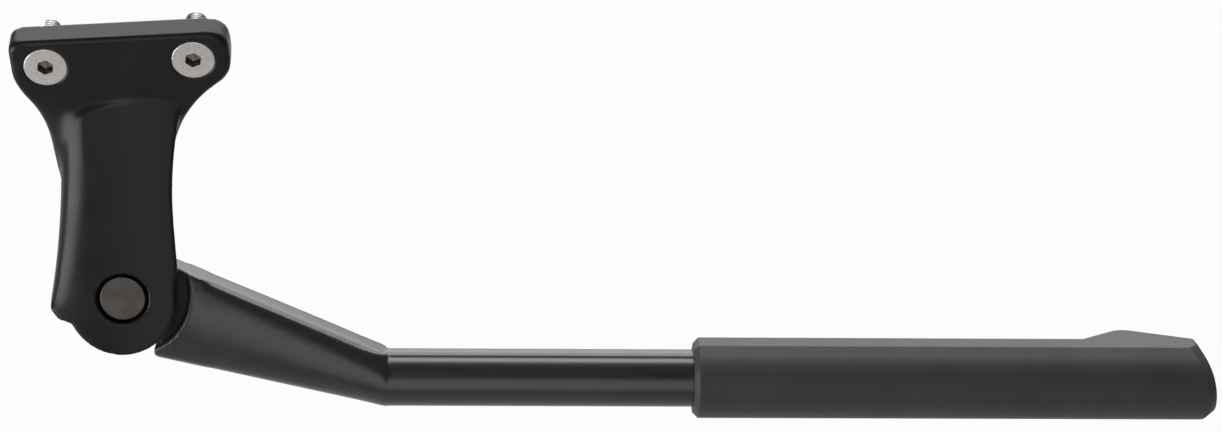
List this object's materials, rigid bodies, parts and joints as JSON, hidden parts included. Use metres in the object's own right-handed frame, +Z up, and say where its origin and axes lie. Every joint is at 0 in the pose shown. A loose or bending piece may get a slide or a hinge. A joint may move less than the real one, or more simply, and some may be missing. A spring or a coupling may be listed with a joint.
{
  "type": "bicycle kickstand",
  "caption": "Folding bicycle kickstand with a two-hole rear plate, a cast head, a bent forged leg and a moulded foot that slides along the leg and latches at set lengths.",
  "frame": {"origin": "midway between the two mounting screws, on the back face of the plate", "axes": "+Y out of the plate's back into the bicycle's frame along the screws, +X along the folded leg towards its foot, +Z up"},
  "size_m": [0.332, 0.0576, 0.1307],
  "materials": {
    "black_casting": "satin black powder coat",
    "black_leg": "satin black anodised",
    "moulded_foot": "fine-grained black moulding",
    "stainless": "bright stainless",
    "black_steel": "black oxide",
    "spring_steel": "plain spring steel",
    "bronze": "sintered bronze"
  },
  "bodies": {
    "head": {"mounting_head": "black_casting", "mounting_screws": "stainless", "pivot_pin": "black_steel", "pivot_washer": "spring_steel", "retaining_ring": "spring_steel", "detent_spring": "spring_steel"},
    "plunger": {"detent_plunger": "spring_steel"},
    "leg": {"leg": "black_leg", "pivot_bush": "bronze", "front_thrust_washer": "spring_steel", "rear_thrust_washer": "spring_steel", "stop_pin": "spring_steel"},
    "foot": {"foot_sleeve": "moulded_foot", "latch_pin": "spring_steel", "latch_spring": "spring_steel"},
    "latch": {"latch_lever": "moulded_foot"}
  },
  "joints": [
    {"name": "leg_swing", "type": "hinge", "parent": "head", "child": "leg", "pos_m": [-0.0053, -0.0187, -0.0685], "axis": [0, 0.9397, -0.342], "range_deg": [0, 90]},
    {"name": "plunger_slide", "type": "slide", "parent": "head", "child": "plunger", "axis": [0, -0.342, -0.9397], "range_m": [0, 0.0012], "stiffness_N_per_m": 4000, "springref_m": 0.003, "deforming": ["detent_spring"]},
    {"name": "foot_slide", "type": "slide", "parent": "leg", "child": "foot", "axis": [0.9982, -0.0206, -0.0565], "range_m": [-0.015, 0.015]},
    {"name": "latch_rock", "type": "hinge", "parent": "foot", "child": "latch", "pos_m": [0.20969, -0.02308, -0.10932], "axis": [-0.0602, -0.3414, -0.938], "range_deg": [0, 9], "stiffness_Nm_per_rad": 0.05, "springref_deg": -5.73, "deforming": ["latch_spring"]}
  ]
}
